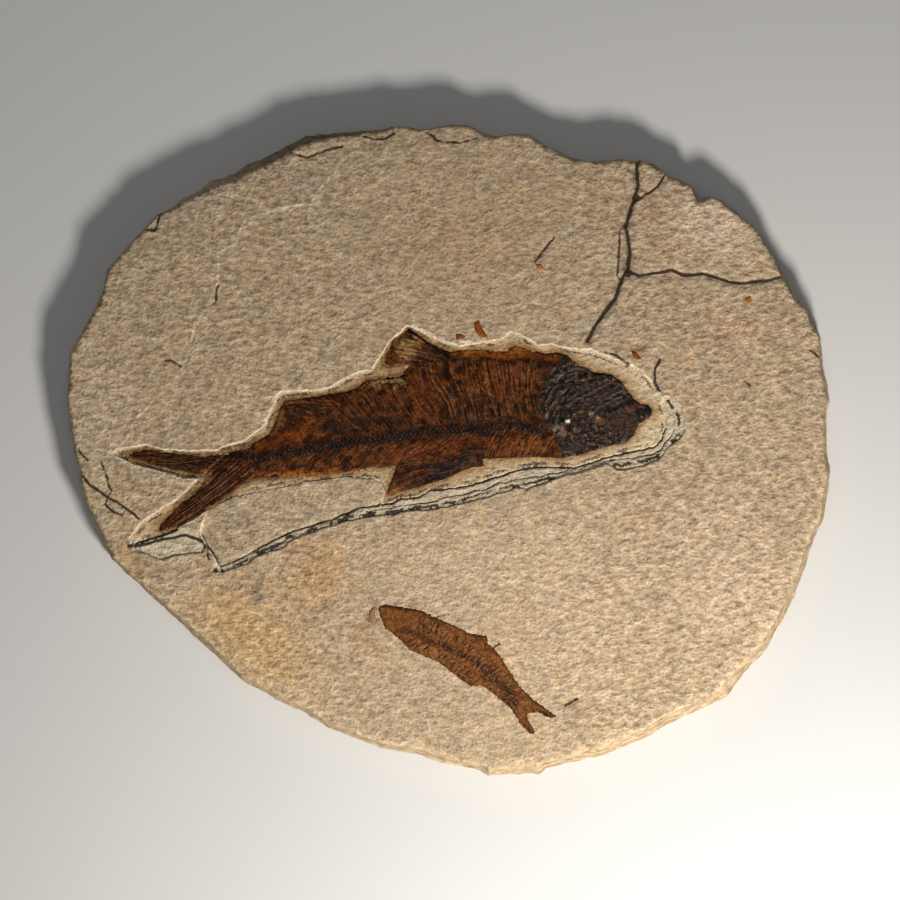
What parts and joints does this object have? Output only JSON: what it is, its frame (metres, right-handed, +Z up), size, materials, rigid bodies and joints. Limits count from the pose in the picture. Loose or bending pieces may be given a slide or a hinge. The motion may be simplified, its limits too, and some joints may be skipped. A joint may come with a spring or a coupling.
{
  "type": "fossil fish slab",
  "caption": "Oval slab of pale layered limestone that lies flat, with a large fossil fish in a worked hollow and a small one on its open surface.",
  "frame": {"origin": "middle of the slab's footprint, on its flat underside", "axes": "+X along the slab's length towards the large fish's head, +Y across it towards the large fish's upper fin, +Z up out of the face that shows the fossils"},
  "size_m": [0.385, 0.329, 0.0167],
  "materials": {
    "limestone": "matte, finely dimpled, ochre stained",
    "fossil_bone": "semi-gloss dark brown mineralised bone",
    "pale_fossil_bone": "satin chestnut mineralised bone"
  },
  "bodies": {
    "root": {"stone_slab": "limestone", "large_fish": "fossil_bone", "small_fish": "pale_fossil_bone", "scale_at_snout": "pale_fossil_bone", "scale_by_fin": "pale_fossil_bone", "scale_near_fin": "pale_fossil_bone", "scale_by_head": "pale_fossil_bone", "scale_north": "pale_fossil_bone", "scale_east": "pale_fossil_bone"}
  },
  "joints": []
}
